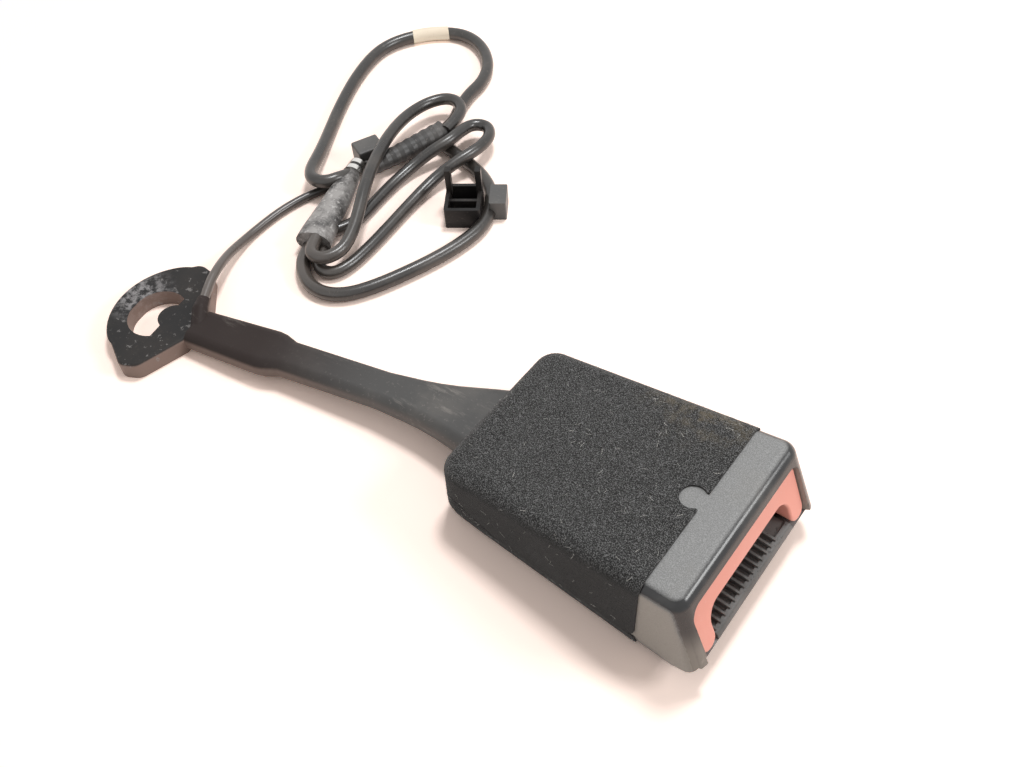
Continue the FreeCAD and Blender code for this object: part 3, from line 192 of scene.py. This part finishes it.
class Recipe:
    """A material under construction: its nodes, its shader and the surface's own coordinates."""

    def __init__(self, name, colour, roughness, gloss=0.25):
        self.material = bpy.data.materials.new(name)
        self.material.use_nodes = True
        self.nodes = self.material.node_tree.nodes
        self.links = self.material.node_tree.links
        self.shader = self.nodes["Principled BSDF"]
        self.shader.inputs["Base Color"].default_value = colour + (1,)
        self.shader.inputs["Roughness"].default_value = roughness
        self.shader.inputs["Specular IOR Level"].default_value = gloss
        self.place = self.nodes.new("ShaderNodeTexCoord").outputs["Object"]

    def noise(self, scale, detail=4.0, roughness=0.55, stretch=None):
        """Clouds from 0 to 1, finer with the scale."""
        place = self.place
        if stretch:
            mapping = self.nodes.new("ShaderNodeMapping")
            mapping.inputs["Scale"].default_value = stretch
            self.links.new(place, mapping.inputs["Vector"])
            place = mapping.outputs["Vector"]
        node = self.nodes.new("ShaderNodeTexNoise")
        node.inputs["Scale"].default_value = scale
        node.inputs["Detail"].default_value = detail
        node.inputs["Roughness"].default_value = roughness
        self.links.new(place, node.inputs["Vector"])
        return node.outputs["Fac"]

    def ramp(self, source, low, high):
        """Rises smoothly from 0 to 1 while the source goes from low to high."""
        node = self.nodes.new("ShaderNodeMapRange")
        node.interpolation_type = "SMOOTHSTEP"
        node.inputs["From Min"].default_value = low
        node.inputs["From Max"].default_value = high
        self.links.new(source, node.inputs["Value"])
        return node.outputs["Result"]

    def times(self, a, b):
        """The product of a mask and another mask or a number."""
        node = self.nodes.new("ShaderNodeMath")
        node.operation = "MULTIPLY"
        self.links.new(a, node.inputs[0])
        if isinstance(b, float):
            node.inputs[1].default_value = b
        else:
            self.links.new(b, node.inputs[1])
        return node.outputs[0]

    def tint(self, mask, colour):
        """Lays a colour over what is there, where the mask is high."""
        mix = self.nodes.new("ShaderNodeMix")
        mix.data_type = "RGBA"
        self.links.new(mask, mix.inputs["Factor"])
        socket = self.shader.inputs["Base Color"]
        if socket.links:
            self.links.new(socket.links[0].from_socket, mix.inputs["A"])
        else:
            mix.inputs["A"].default_value = tuple(socket.default_value)
        mix.inputs["B"].default_value = colour + (1,)
        self.links.new(mix.outputs["Result"], socket)

    def spread(self, name, mask, low, high):
        """Runs one of the shader's numbers from low to high along a mask."""
        node = self.nodes.new("ShaderNodeMapRange")
        node.inputs["To Min"].default_value = low
        node.inputs["To Max"].default_value = high
        self.links.new(mask, node.inputs["Value"])
        self.links.new(node.outputs["Result"], self.shader.inputs[name])

    def rough(self, mask, low, high):
        self.spread("Roughness", mask, low, high)

    def gloss(self, mask, low, high):
        self.spread("Specular IOR Level", mask, low, high)

    def bump(self, height, distance, strength=1.0):
        """Adds small relief to what is there."""
        node = self.nodes.new("ShaderNodeBump")
        node.inputs["Distance"].default_value = distance
        node.inputs["Strength"].default_value = strength
        self.links.new(height, node.inputs["Height"])
        socket = self.shader.inputs["Normal"]
        if socket.links:
            self.links.new(socket.links[0].from_socket, node.inputs["Normal"])
        self.links.new(node.outputs["Normal"], socket)

    def facing(self, directions, low, high):
        """High where the surface faces one of the directions."""
        normal = self.nodes.new("ShaderNodeTexCoord").outputs["Normal"]
        result = None
        for direction in directions:
            dot = self.nodes.new("ShaderNodeVectorMath")
            dot.operation = "DOT_PRODUCT"
            self.links.new(normal, dot.inputs[0])
            dot.inputs[1].default_value = Vector(direction).normalized()
            if result is None:
                result = dot.outputs["Value"]
                continue
            most = self.nodes.new("ShaderNodeMath")
            most.operation = "MAXIMUM"
            self.links.new(result, most.inputs[0])
            self.links.new(dot.outputs["Value"], most.inputs[1])
            result = most.outputs[0]
        return self.ramp(result, low, high)

    def near(self, place, low, high):
        """Falls from 1 to 0 between two distances from a place."""
        apart = self.nodes.new("ShaderNodeVectorMath")
        apart.operation = "DISTANCE"
        self.links.new(self.place, apart.inputs[0])
        apart.inputs[1].default_value = place
        fall = self.nodes.new("ShaderNodeMapRange")
        fall.interpolation_type = "SMOOTHSTEP"
        fall.inputs["From Min"].default_value = low
        fall.inputs["From Max"].default_value = high
        fall.inputs["To Min"].default_value = 1.0
        fall.inputs["To Max"].default_value = 0.0
        self.links.new(apart.outputs["Value"], fall.inputs["Value"])
        return fall.outputs["Result"]

    def above(self, low, high):
        """Rises from 0 to 1 between two heights."""
        split = self.nodes.new("ShaderNodeSeparateXYZ")
        self.links.new(self.place, split.inputs[0])
        return self.ramp(split.outputs["Z"], low, high)


DUST = (0.35, 0.3, 0.25)
GREY_DUST = (0.3, 0.27, 0.24)
FINE_GRAIN = 2600          # noise scale of the finest relief
WAVE_HEIGHT = 0.12         # slow waves of a moulded face, in millimetres

# Directions are (X, Y, Z) in the part's frame. The head's front looks along +X and its near side along -Y.
UP = (0, 0, 1)
HEAD_FACES = [(-0.12, 0, 0.99), (0, 1, 0.03), (0, -1, 0.03), (0, 0, -1)]
HEAD_NEAR_SIDE = (0, -1, 0)
HEAD_NEAR_CORNER = [(0.55, -0.83, 0.1), (0.9, -0.4, 0.1)]
CORNER_HEIGHTS = (0.024, 0.014)    # the corner's painted bounce light fades in between these heights
VELOUR_LIT_SIDE = (-0.05, 0.1, 1)

# Places that marks are laid round: wear, dust, a darker stalk foot, and painted floor-bounce light on the
# stalk's sides beside the anchor
RUBBED_RIM = (-0.0125, 0.0015, 0.006)
STALK_FOOT = (0.012, -0.002, 0.006)
LEAD_EXIT = (0.003, 0.024, 0.008)
BOOT_MIDDLE = (0.011, 0.072, 0.005)
DUSTY_CORNER = (0.186, 0.064, 0.031)

SLOT_DIRT = (0.03, 0.028, 0.025)
CONNECTOR_GREY = (0.085, 0.083, 0.081)
# The roundings' dark: polished plastic, and painted shade.
POLISHED_AND_SHADED_DARK = (0.02, 0.02, 0.021)
GRAIN_GREY = (0.19, 0.19, 0.188)
GRAIN_SPECK = (0.40, 0.40, 0.395)
# Painted floor-bounce light, with some dust, for the head's near side.
NEAR_SIDE_DUST_AND_BOUNCE = (0.40, 0.345, 0.29)
# Painted floor-bounce light, with some dust, for the near front corner.
CORNER_DUST_AND_BOUNCE = (0.30, 0.265, 0.225)


def moulded(name, colour, roughness, grain=0.05, dust=DUST, dusty=0.25, gloss=0.25):
    """Moulded plastic or rubber: fine grain, slow waves, and dust in clouds and specks."""
    r = Recipe(name, colour, roughness, gloss)
    cloud = r.noise(55, 5)
    r.tint(r.times(r.ramp(cloud, 0.42, 0.75), dusty), dust)
    r.tint(r.times(r.ramp(r.noise(900, 2), 0.62, 0.7), dusty), dust)
    r.rough(cloud, roughness - 0.08, roughness + 0.15)
    r.bump(r.noise(FINE_GRAIN, 2), grain * MM, 0.6)
    r.bump(r.noise(160, 3), WAVE_HEIGHT * MM, 0.25)
    return r


def shell_plastic():
    """Grey where the moulded grain holds dust; dark and glossy on the roundings, where hands have polished
    them and where shade is painted in.
    """
    r = Recipe("shell_plastic", POLISHED_AND_SHADED_DARK, 0.4, 0.5)
    # The grain grey covers the flat faces only; the roundings and the front keep the base dark, partly
    # polish wear and partly painted shade.
    grained = r.facing(HEAD_FACES, 0.86, 0.99)
    speck = r.ramp(r.noise(3200, 2, 0.7), 0.36, 0.68)
    r.tint(grained, GRAIN_GREY)
    r.tint(r.times(r.times(grained, speck), 0.6), GRAIN_SPECK)
    r.tint(r.times(r.ramp(r.noise(60, 4), 0.5, 0.8), 0.25), (0.25, 0.235, 0.21))
    # Painted floor-bounce light with some dust: only the near side is tinted a paler taupe.
    r.tint(r.times(r.facing([HEAD_NEAR_SIDE], 0.9, 1.0), 0.6), NEAR_SIDE_DUST_AND_BOUNCE)
    # Painted floor-bounce light on the near front corner, as on the near side.
    corner = r.times(r.facing(HEAD_NEAR_CORNER, 0.86, 0.97), r.above(*CORNER_HEIGHTS))
    r.tint(r.times(corner, 0.7), CORNER_DUST_AND_BOUNCE)
    r.rough(grained, 0.24, 0.5)
    r.bump(r.times(speck, grained), 0.05 * MM, 0.8)
    return r


def anchor_skin():
    """Black rubber, rubbed pale round the hole, with painted warm floor-bounce light on its side walls."""
    r = moulded("sheath_rubber", (0.016, 0.015, 0.015), 0.48, 0.03, (0.2, 0.16, 0.13), 0.08)
    blotch = r.ramp(r.noise(420, 6, 0.7), 0.42, 0.62)
    patch = r.times(r.near(RUBBED_RIM, 0.004, 0.0145), blotch)
    r.tint(r.times(patch, 0.65), (0.42, 0.4, 0.4))
    # Painted warm floor-bounce light: the side walls, not the top, are tinted pinkish brown.
    r.tint(r.times(r.facing([UP], 0.8, 0.3), 0.75), (0.34, 0.235, 0.195))
    r.tint(r.times(r.ramp(r.noise(330, 4, 0.7), 0.60, 0.66), 0.45), (0.36, 0.34, 0.33))
    return r


def stalk_skin():
    """Dark grey, browner and darker beside the anchor, with painted warm floor-bounce light on the sides
    there, and pale scuffs along the top.
    """
    r = moulded("sleeve_plastic", (0.045, 0.043, 0.041), 0.44, 0.03, GREY_DUST, 0.16, 0.6)
    foot = r.near(STALK_FOOT, 0.03, 0.085)
    r.tint(r.times(foot, 0.9), (0.038, 0.028, 0.026))
    r.gloss(foot, 0.6, 0.1)
    # Painted warm floor-bounce light on the stalk's sides beside the anchor.
    r.tint(r.times(r.times(r.facing([UP], 0.5, 0.05), foot), 0.6), (0.30, 0.215, 0.18))
    scuff = r.times(r.ramp(r.noise(90, 7, 0.75, stretch=(0.35, 1.6, 1)), 0.56, 0.72), r.above(0.004, 0.012))
    r.tint(r.times(scuff, 0.45), (0.32, 0.29, 0.26))
    return r


def cable_skin():
    """Glossy black, paler where the lead leaves the stalk."""
    r = moulded("cable_sheath", (0.024, 0.021, 0.019), 0.26, 0.01, (0.26, 0.22, 0.18), 0.14, 0.7)
    r.tint(r.times(r.near(LEAD_EXIT, 0.012, 0.06), 0.7), (0.14, 0.115, 0.10))
    return r


def tape():
    """Black tape, thick with dust on the boot."""
    r = moulded("tape", (0.04, 0.038, 0.037), 0.4, 0.02, (0.3, 0.27, 0.25), 0.3, 0.5)
    boot = r.near(BOOT_MIDDLE, 0.018, 0.027)
    r.tint(r.times(r.times(r.ramp(r.noise(110, 6, 0.7), 0.36, 0.62), boot), 0.8), (0.42, 0.40, 0.385))
    r.tint(r.times(r.times(r.ramp(r.noise(800, 3), 0.56, 0.68), boot), 0.6), (0.62, 0.6, 0.58))
    return r


def metal(name, colour, roughness):
    """Drawn or pressed steel, with fine streaks."""
    r = Recipe(name, colour, roughness)
    r.shader.inputs["Metallic"].default_value = 1.0
    r.rough(r.noise(300, 4, stretch=(1, 12, 12)), roughness - 0.08, roughness + 0.12)
    r.bump(r.noise(900, 2, stretch=(1, 20, 20)), 0.02 * MM, 0.4)
    return r


def velour():
    """Black fuzz with grey tips, paler on the lit top and fading down the sides as painted shade, and tan
    dust at the far front corner.
    """
    r = Recipe("velour", (0.02, 0.02, 0.02), 1.0)
    r.shader.inputs["Sheen Weight"].default_value = 0.35
    r.shader.inputs["Sheen Roughness"].default_value = 0.45
    r.shader.inputs["Sheen Tint"].default_value = (0.62, 0.58, 0.56, 1)
    r.shader.inputs["Specular IOR Level"].default_value = 0.15
    r.tint(r.times(r.ramp(r.noise(70, 4), 0.45, 0.8), 0.4), (0.05, 0.05, 0.05))
    # Painted shade: the grey tips fade out down the sides, away from the lit top.
    tips = r.times(r.ramp(r.noise(3400, 2, 0.7), 0.5, 0.6), r.facing([VELOUR_LIT_SIDE], -0.1, 0.75))
    r.tint(r.times(tips, 0.9), (0.21, 0.21, 0.208))
    dusty = r.times(r.near(DUSTY_CORNER, 0.004, 0.030), r.ramp(r.noise(260, 5, 0.7), 0.4, 0.75))
    r.tint(r.times(dusty, 0.6), (0.30, 0.24, 0.15))
    r.bump(r.noise(FINE_GRAIN, 2, 0.7), 0.35 * MM, 0.9)
    return r


def tuft(name, dark, pale):
    """Loose fibres, dark and pale ones mixed."""
    r = Recipe(name, dark, 0.8)
    r.tint(r.ramp(r.noise(1900, 2), 0.5, 0.72), pale)
    return r


def make_materials():
    """One material for each slot of the frame, and one each for the pile and the lint."""
    made = {
        "shell_plastic": shell_plastic(),
        "red_plastic": moulded("red_plastic", (0.90, 0.37, 0.29), 0.42, 0.02, (0.95, 0.52, 0.44), 0.2),
        "comb_plastic": moulded("comb_plastic", (0.15, 0.145, 0.14), 0.38, 0.02, SLOT_DIRT, 0.6),
        "frame_steel": metal("frame_steel", (0.5, 0.49, 0.47), 0.4),
        "rivet_steel": metal("rivet_steel", (0.55, 0.54, 0.52), 0.35),
        "spring_steel": metal("spring_steel", (0.42, 0.41, 0.4), 0.3),
        "rope_steel": metal("rope_steel", (0.45, 0.44, 0.42), 0.45),
        "ejector_plastic": moulded("ejector_plastic", (0.75, 0.74, 0.7), 0.4, 0.01),
        "black_plastic": moulded("black_plastic", (0.014, 0.013, 0.013), 0.34, 0.02, (0.25, 0.2, 0.16), 0.1),
        "sleeve_plastic": stalk_skin(),
        "sheath_rubber": anchor_skin(),
        "cable_sheath": cable_skin(),
        "tape": tape(),
        "tie_metal": metal("tie_metal", (0.75, 0.73, 0.7), 0.25),
        "grey_connector": moulded("grey_connector", CONNECTOR_GREY, 0.4, 0.02, GREY_DUST, 0.2, 0.5),
        "label_film": moulded("label_film", (0.92, 0.80, 0.64), 0.5, 0.01, (0.75, 0.58, 0.42), 0.25),
        "velour": velour(),
        "pile": tuft("pile", (0.06, 0.06, 0.062), (0.5, 0.5, 0.5)),
        "lint": tuft("lint", (0.6, 0.58, 0.54), (0.9, 0.86, 0.8)),
    }
    return {name: recipe.material for name, recipe in made.items()}


# Pieces

SOFT_EDGE = {              # rounding of each moulded piece's edges, in millimetres
    "upper_shell": 0.2, "lower_shell": 0.15, "release_button": 0.3, "mouth_comb": 0.18, "anchor_sheath": 0.3,
    "plug_housing": 0.25, "strap_clip": 0.3, "inline_connector": 0.3, "latch": 0.3, "lock_slide": 0.25,
    "frame": 0.3, "ejector": 0.2,
}
EDGE_SEGMENTS = 3
EDGE_ANGLE = math.radians(38)      # edges sharper than this are rounded
FLAT_ANGLE = math.radians(1.0)     # faces that differ by less are joined
JOIN_DISTANCE = 0.002 * MM


def paint_frame(materials):
    """Gives each node of the frame its slot's material."""
    for name, node in NODES.items():
        node.data.materials.clear()
        node.data.materials.append(materials[SLOT_OF[name]])


def copy_of(node):
    """A free copy of a node's mesh with its corners joined."""
    mesh = NODES[node].data.copy()
    mesh.name = node + "_form"
    form = bmesh.new()
    form.from_mesh(mesh)
    bmesh.ops.remove_doubles(form, verts=form.verts, dist=JOIN_DISTANCE)
    bmesh.ops.dissolve_limit(form, angle_limit=FLAT_ANGLE, verts=form.verts, edges=form.edges,
                             delimit={"NORMAL"})
    form.to_mesh(mesh)
    form.free()
    return mesh


def stand_in(node, mesh):
    """A dressed piece in the node's place."""
    piece = add_object(node + "_skin", mesh)
    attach(piece, BODY_OF[node])
    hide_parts(node)
    return piece


def soften_edges():
    """Rounds the small edges of the moulded and pressed pieces."""
    for node, radius in SOFT_EDGE.items():
        piece = stand_in(node, copy_of(node))
        for polygon in piece.data.polygons:
            polygon.use_smooth = True
        bevel = piece.modifiers.new("edge", "BEVEL")
        bevel.width = radius * MM
        bevel.segments = EDGE_SEGMENTS
        bevel.limit_method = "ANGLE"
        bevel.angle_limit = EDGE_ANGLE
        bevel.harden_normals = False
        bevel.use_clamp_overlap = True
        normal = piece.modifiers.new("normal", "WEIGHTED_NORMAL")
        normal.keep_sharp = True


# Pile and lint, in millimetres
PILE_NODES = ("upper_velour", "lower_velour")
PILE_SEED = 11
PILE_COUNT = 5200          # tufts on each panel
PILE_LENGTH = (0.25, 0.6)
PILE_RADIUS = 0.045
PILE_SUNK = 0.05           # each tuft starts this far inside the panel
PILE_SPREAD = 0.55         # how far tufts lean, as a share of upright
LINT_COUNT = 150
LINT_LENGTH = (0.7, 2.8)
LINT_RADIUS = (0.03, 0.10)
LINT_LIFT = 0.12           # the lint lies this far above the panel
LINT_SPREAD = 3.0
LINT_PARTS = 3             # straight parts of one curled fibre
LINT_CURL = 0.7            # the most that a part may turn from the one before
PILE_LOWEST = 1.2          # faces centred below this height carry none
HEAD_LENGTH_WEIGHT = 0.55  # the head is long, so its length counts for less in telling out from in
OUTWARD_SHARE = 0.25       # a face looks out of the head from this share of straight out


def outward_places(mesh, count, chance):
    """Places spread evenly over the faces that look out of the head, with their normals."""
    mesh.calc_loop_triangles()
    middle = (Vector(HEAD_LOW) + Vector(HEAD_HIGH)) / 2
    spots = [v.co for v in mesh.vertices]
    faces, weights = [], []
    for triangle in mesh.loop_triangles:
        a, b, c = (spots[i] for i in triangle.vertices)
        centre = (a + b + c) / 3
        reach = centre - middle
        reach.x *= HEAD_LENGTH_WEIGHT
        outward = triangle.normal.dot(reach) > OUTWARD_SHARE * reach.length
        if outward and centre.z > PILE_LOWEST * MM:
            faces.append((a, b, c, triangle.normal.copy()))
            weights.append(triangle.area)
    for a, b, c, normal in chance.choices(faces, weights=weights, k=count):
        u, v = chance.random(), chance.random()
        if u + v > 1:
            u, v = 1 - u, 1 - v
        yield a + (b - a) * u + (c - a) * v, normal


def needle(verts, faces, base, tip, radius):
    """A closed three sided needle from base to tip."""
    run = (tip - base).normalized()
    side = run.orthogonal().normalized()
    across = run.cross(side)
    first = len(verts)
    for k in range(3):
        angle = 2 * math.pi * k / 3
        verts.append(base + (side * math.cos(angle) + across * math.sin(angle)) * radius)
    verts.append(tip)
    faces.extend([(first, first + 1, first + 3), (first + 1, first + 2, first + 3),
                  (first + 2, first, first + 3), (first + 2, first + 1, first)])


def random_lean(chance, normal, spread):
    """The normal, leaning by chance."""
    offset = Vector((chance.gauss(0, 1), chance.gauss(0, 1), chance.gauss(0, 1))) * spread
    return (normal + offset).normalized()


def make_pile(materials):
    """Short tufts all over the velour, and a little pale lint that lies on it."""
    chance = random.Random(PILE_SEED)
    for node in PILE_NODES:
        verts, faces = [], []
        for place, normal in outward_places(NODES[node].data, PILE_COUNT, chance):
            length = chance.uniform(*PILE_LENGTH) * MM
            tip = place + random_lean(chance, normal, PILE_SPREAD) * length
            needle(verts, faces, place - normal * PILE_SUNK * MM, tip, PILE_RADIUS * MM)
        add_tufts(node, "_pile", verts, faces, materials["pile"])
        verts, faces = [], []
        for place, normal in outward_places(NODES[node].data, LINT_COUNT, chance):
            at = place + normal * LINT_LIFT * MM
            heading = random_lean(chance, normal, LINT_SPREAD)
            heading = (heading - normal * heading.dot(normal)).normalized()
            radius = chance.uniform(*LINT_RADIUS) * MM
            for part in range(LINT_PARTS):
                ahead = at + heading * chance.uniform(*LINT_LENGTH) * MM / LINT_PARTS
                needle(verts, faces, at, ahead, radius)
                at = ahead
                turn = normal.cross(heading) * chance.uniform(-LINT_CURL, LINT_CURL)
                heading = (heading + turn).normalized()
        add_tufts(node, "_lint", verts, faces, materials["lint"])


def add_tufts(node, ending, verts, faces, material):
    """One piece of many needles that rides with the node."""
    mesh = bpy.data.meshes.new(node + ending)
    mesh.from_pydata(verts, [], faces)
    mesh.materials.append(material)
    piece = add_object(node + ending, mesh)
    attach(piece, BODY_OF[node])


# Cords: routes in millimetres, the same as the CAD's
LEAD_DIAMETER = 3.4 * MM
SLEEVE_DIAMETER = 5.2 * MM
LOOP_DIAMETER = 4.8 * MM
CORD_STEPS = 14            # curve steps between two points
CORD_ROUNDNESS = 6
LEAD_ROUTE = [
    (10.9, 12.0, 8.2), (7.2, 17.8, 8.7), (3.9, 24.5, 8.7), (-2.1, 34.6, 5.2), (-5.7, 45.6, 2.2),
    (-6.4, 55.2, 1.8), (-6.2, 64.2, 1.8), (-4.9, 72.6, 1.8), (-2.4, 80.3, 1.8), (0.8, 86.4, 2.0),
    (3.2, 91.2, 2.6),
]
SLEEVE_ROUTE = [
    (5.1, 92.8, 5.5), (5.2, 88.0, 7.5), (2.6, 82.0, 7.9), (-3.2, 80.6, 7.8), (-8.6, 85.2, 6.8),
    (-13.8, 94.2, 5.0), (-19.4, 103.6, 3.4), (-24.0, 111.4, 2.7), (-31.6, 125.6, 2.7),
    (-39.0, 141.8, 2.7), (-43.8, 156.6, 2.7), (-45.2, 167.6, 2.8), (-42.6, 177.4, 3.0),
    (-35.2, 188.0, 3.0), (-24.6, 195.4, 3.0), (-14.2, 195.6, 3.0), (-4.0, 190.6, 2.8),
    (4.4, 181.8, 2.7), (8.6, 171.6, 2.7), (9.2, 162.4, 2.7), (11.4, 153.6, 2.7), (15.0, 145.4, 2.8),
    (16.8, 138.0, 3.6), (17.6, 132.8, 4.4),
]
INNER_ROUTE = [
    (21.5, 57.5, 7.9), (24.0, 51.6, 7.9), (28.2, 49.6, 7.9), (32.4, 51.6, 7.9), (34.3, 58.2, 8.0),
    (31.4, 66.6, 8.6), (26.6, 75.6, 9.8), (21.0, 85.0, 11.2), (14.2, 97.4, 11.4), (6.8, 113.4, 10.2),
    (2.4, 129.0, 8.8), (2.8, 141.8, 8.0), (8.0, 149.9, 8.1), (15.4, 149.6, 8.4), (20.6, 143.4, 8.2),
    (21.5, 132.6, 7.9),
]
RETURN_ROUTE = [
    (23.6, 58.2, 2.6), (26.2, 52.2, 2.6), (30.6, 49.2, 2.5), (35.4, 50.9, 2.5), (37.3, 57.4, 2.5),
    (37.0, 68.4, 2.5), (35.4, 82.6, 2.5), (33.6, 96.8, 2.6), (33.6, 109.6, 4.2), (36.4, 118.8, 7.0),
    (39.0, 126.2, 8.2), (39.6, 133.4, 7.9), (37.8, 140.6, 7.2), (32.8, 145.4, 6.8), (27.2, 142.4, 7.2),
    (26.7, 134.6, 8.0), (27.0, 127.8, 8.2), (23.6, 120.4, 6.4), (20.8, 111.8, 3.6), (20.2, 101.4, 2.5),
    (21.4, 90.6, 2.5), (22.8, 80.6, 2.5), (23.0, 72.8, 2.7), (19.6, 65.6, 3.4),
]
OUTER_ROUTE = [
    (18.0, 57.0, 3.0), (19.8, 51.2, 2.8), (24.6, 45.6, 2.7), (31.8, 41.4, 2.7), (40.2, 41.3, 2.7),
    (47.2, 45.9, 2.7), (52.6, 54.6, 2.7), (57.0, 65.0, 2.7), (61.1, 76.2, 2.7), (64.2, 88.6, 2.7),
    (65.0, 100.2, 2.7), (61.6, 110.2, 2.7), (55.2, 118.4, 2.7), (46.4, 123.8, 2.7), (37.2, 126.6, 2.7),
    (29.0, 128.4, 2.8), (21.8, 129.4, 3.2),
]
CORDS = [                  # node, route, diameter, length in metres, pieces that it carries
    ("signal_lead", LEAD_ROUTE, LEAD_DIAMETER, 0.086, ("splice_boot", "cable_tie")),
    ("loop_sleeve", SLEEVE_ROUTE, SLEEVE_DIAMETER, 0.235,
     ("label_band", "taped_section", "inline_connector")),
    ("inner_loop", INNER_ROUTE, LOOP_DIAMETER, 0.147, ("taped_section",)),
    ("return_loop", RETURN_ROUTE, LOOP_DIAMETER, 0.199, ("splice_boot",)),
    ("outer_loop", OUTER_ROUTE, SLEEVE_DIAMETER, 0.152, ("plug_housing", "strap_clip")),
]


def cord(node, route, diameter, length, carried, materials):
    """A round cord along its route; the pieces on it are looked up, and its length is not used."""
    curve = bpy.data.curves.new(node + "_line", "CURVE")
    curve.dimensions = "3D"
    spline = curve.splines.new("NURBS")
    spline.points.add(len(route) - 1)
    for point, place in zip(spline.points, route):
        point.co = tuple(v * MM for v in place) + (1.0,)
    spline.order_u = 3
    spline.use_endpoint_u = True
    curve.resolution_u = CORD_STEPS
    curve.bevel_depth = diameter / 2
    curve.bevel_resolution = CORD_ROUNDNESS
    curve.use_fill_caps = True
    curve.materials.append(materials[SLOT_OF[node]])
    piece = add_object(node + "_cord", curve)
    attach(piece, BODY_OF[node])
    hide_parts(node)
    tuple(v * MM for v in route[0])
    [NODES[name] for name in carried]


bpy.context.scene.view_settings.view_transform = "Standard"
make_camera()
make_world()
make_floor()
for lamp in LAMPS:
    area_lamp(*lamp)
materials = make_materials()
paint_frame(materials)
soften_edges()
make_pile(materials)
for row in CORDS:
    cord(*row, materials)
